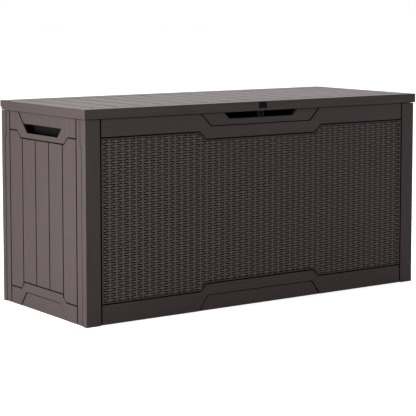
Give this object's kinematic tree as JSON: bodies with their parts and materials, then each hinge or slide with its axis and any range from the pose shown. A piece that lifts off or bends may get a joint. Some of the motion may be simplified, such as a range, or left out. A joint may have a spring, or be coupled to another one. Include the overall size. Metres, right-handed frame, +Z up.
{
  "type": "deck storage box",
  "caption": "Moulded resin deck storage box with a woven-look front, slatted ends with hand holds, and a hinged boarded lid held open by gas struts.",
  "frame": {"origin": "on the ground under the middle of the box", "axes": "+X along the length, -Y towards the front with the finger pull, +Z up"},
  "size_m": [1.164, 0.468, 0.575],
  "materials": {
    "resin_shell": "satin moulded resin with a fine wood grain",
    "resin_inner": "matte moulded resin",
    "zinc_steel": "zinc plated",
    "strut_tube": "black satin paint",
    "black_steel": "black powder coat",
    "strut_rod": "ground and plated",
    "black_nylon": "matte",
    "badge": "satin, blank"
  },
  "bodies": {
    "box": {"back_panel": "resin_shell", "corner_screws": "zinc_steel", "cup_screws": "zinc_steel", "floor_left": "resin_inner", "floor_right": "resin_inner", "floor_screws": "zinc_steel", "front_panel": "resin_shell", "handle_cup_left": "black_nylon", "handle_cup_right": "black_nylon", "hinge_bracket_left": "zinc_steel", "hinge_bracket_middle": "zinc_steel", "hinge_bracket_right": "zinc_steel", "hinge_bracket_screws": "zinc_steel", "hinge_pin_left": "zinc_steel", "hinge_pin_middle": "zinc_steel", "hinge_pin_right": "zinc_steel", "lock_staple": "black_steel", "post_front_left": "resin_shell", "post_front_right": "resin_shell", "post_rear_left": "resin_shell", "post_rear_right": "resin_shell", "side_panel_left": "resin_shell", "side_panel_right": "resin_shell", "staple_screws": "zinc_steel", "strut_wall_bracket_left": "zinc_steel", "strut_wall_bracket_right": "zinc_steel", "strut_wall_stud_left": "zinc_steel", "strut_wall_stud_right": "zinc_steel", "wall_bracket_screws": "zinc_steel"},
    "lid": {"badge_plate": "badge", "hasp_screws": "zinc_steel", "lid_bracket_screws": "zinc_steel", "lid_hasp": "black_steel", "lid_hinge_leaf_left": "zinc_steel", "lid_hinge_leaf_middle": "zinc_steel", "lid_hinge_leaf_right": "zinc_steel", "lid_hinge_screws": "zinc_steel", "lid_liner": "resin_inner", "lid_screws": "zinc_steel", "lid_shell": "resin_shell", "strut_lid_bracket_left": "zinc_steel", "strut_lid_bracket_right": "zinc_steel", "strut_lid_stud_left": "zinc_steel", "strut_lid_stud_right": "zinc_steel"},
    "strut_tube_assembly_left": {"strut_gland_left": "black_nylon", "strut_tube_left": "strut_tube", "strut_upper_socket_left": "black_nylon"},
    "strut_tube_assembly_right": {"strut_gland_right": "black_nylon", "strut_tube_right": "strut_tube", "strut_upper_socket_right": "black_nylon"},
    "strut_rod_assembly_left": {"strut_lower_socket_left": "black_nylon", "strut_piston_left": "strut_tube", "strut_rod_left": "strut_rod"},
    "strut_rod_assembly_right": {"strut_lower_socket_right": "black_nylon", "strut_piston_right": "strut_tube", "strut_rod_right": "strut_rod"}
  },
  "joints": [
    {"name": "lid_hinge", "type": "hinge", "parent": "box", "child": "lid", "pos_m": [0, 0.228, 0.5485], "axis": [-1, 0, 0], "range_deg": [0, 92]},
    {"name": "strut_foot_pivot_left", "type": "hinge", "parent": "box", "child": "strut_rod_assembly_left", "pos_m": [-0.53, 0.18596, 0.35297], "axis": [-1, 0, 0], "range_deg": [0, 46]},
    {"name": "strut_head_pivot_left", "type": "hinge", "parent": "lid", "child": "strut_tube_assembly_left", "pos_m": [-0.53, 0.02825, 0.5385], "axis": [-1, 0, 0], "range_deg": [-46, 0]},
    {"name": "strut_foot_pivot_right", "type": "hinge", "parent": "box", "child": "strut_rod_assembly_right", "pos_m": [0.53, 0.18596, 0.35297], "axis": [-1, 0, 0], "range_deg": [0, 46]},
    {"name": "strut_head_pivot_right", "type": "hinge", "parent": "lid", "child": "strut_tube_assembly_right", "pos_m": [0.53, 0.02825, 0.5385], "axis": [-1, 0, 0], "range_deg": [-46, 0]}
  ],
  "couplings": [
    {"joint": "strut_foot_pivot_left", "follows": "lid_hinge", "ratio": 0.5},
    {"joint": "strut_head_pivot_left", "follows": "lid_hinge", "ratio": -0.5},
    {"joint": "strut_foot_pivot_right", "follows": "lid_hinge", "ratio": 0.5},
    {"joint": "strut_head_pivot_right", "follows": "lid_hinge", "ratio": -0.5}
  ]
}
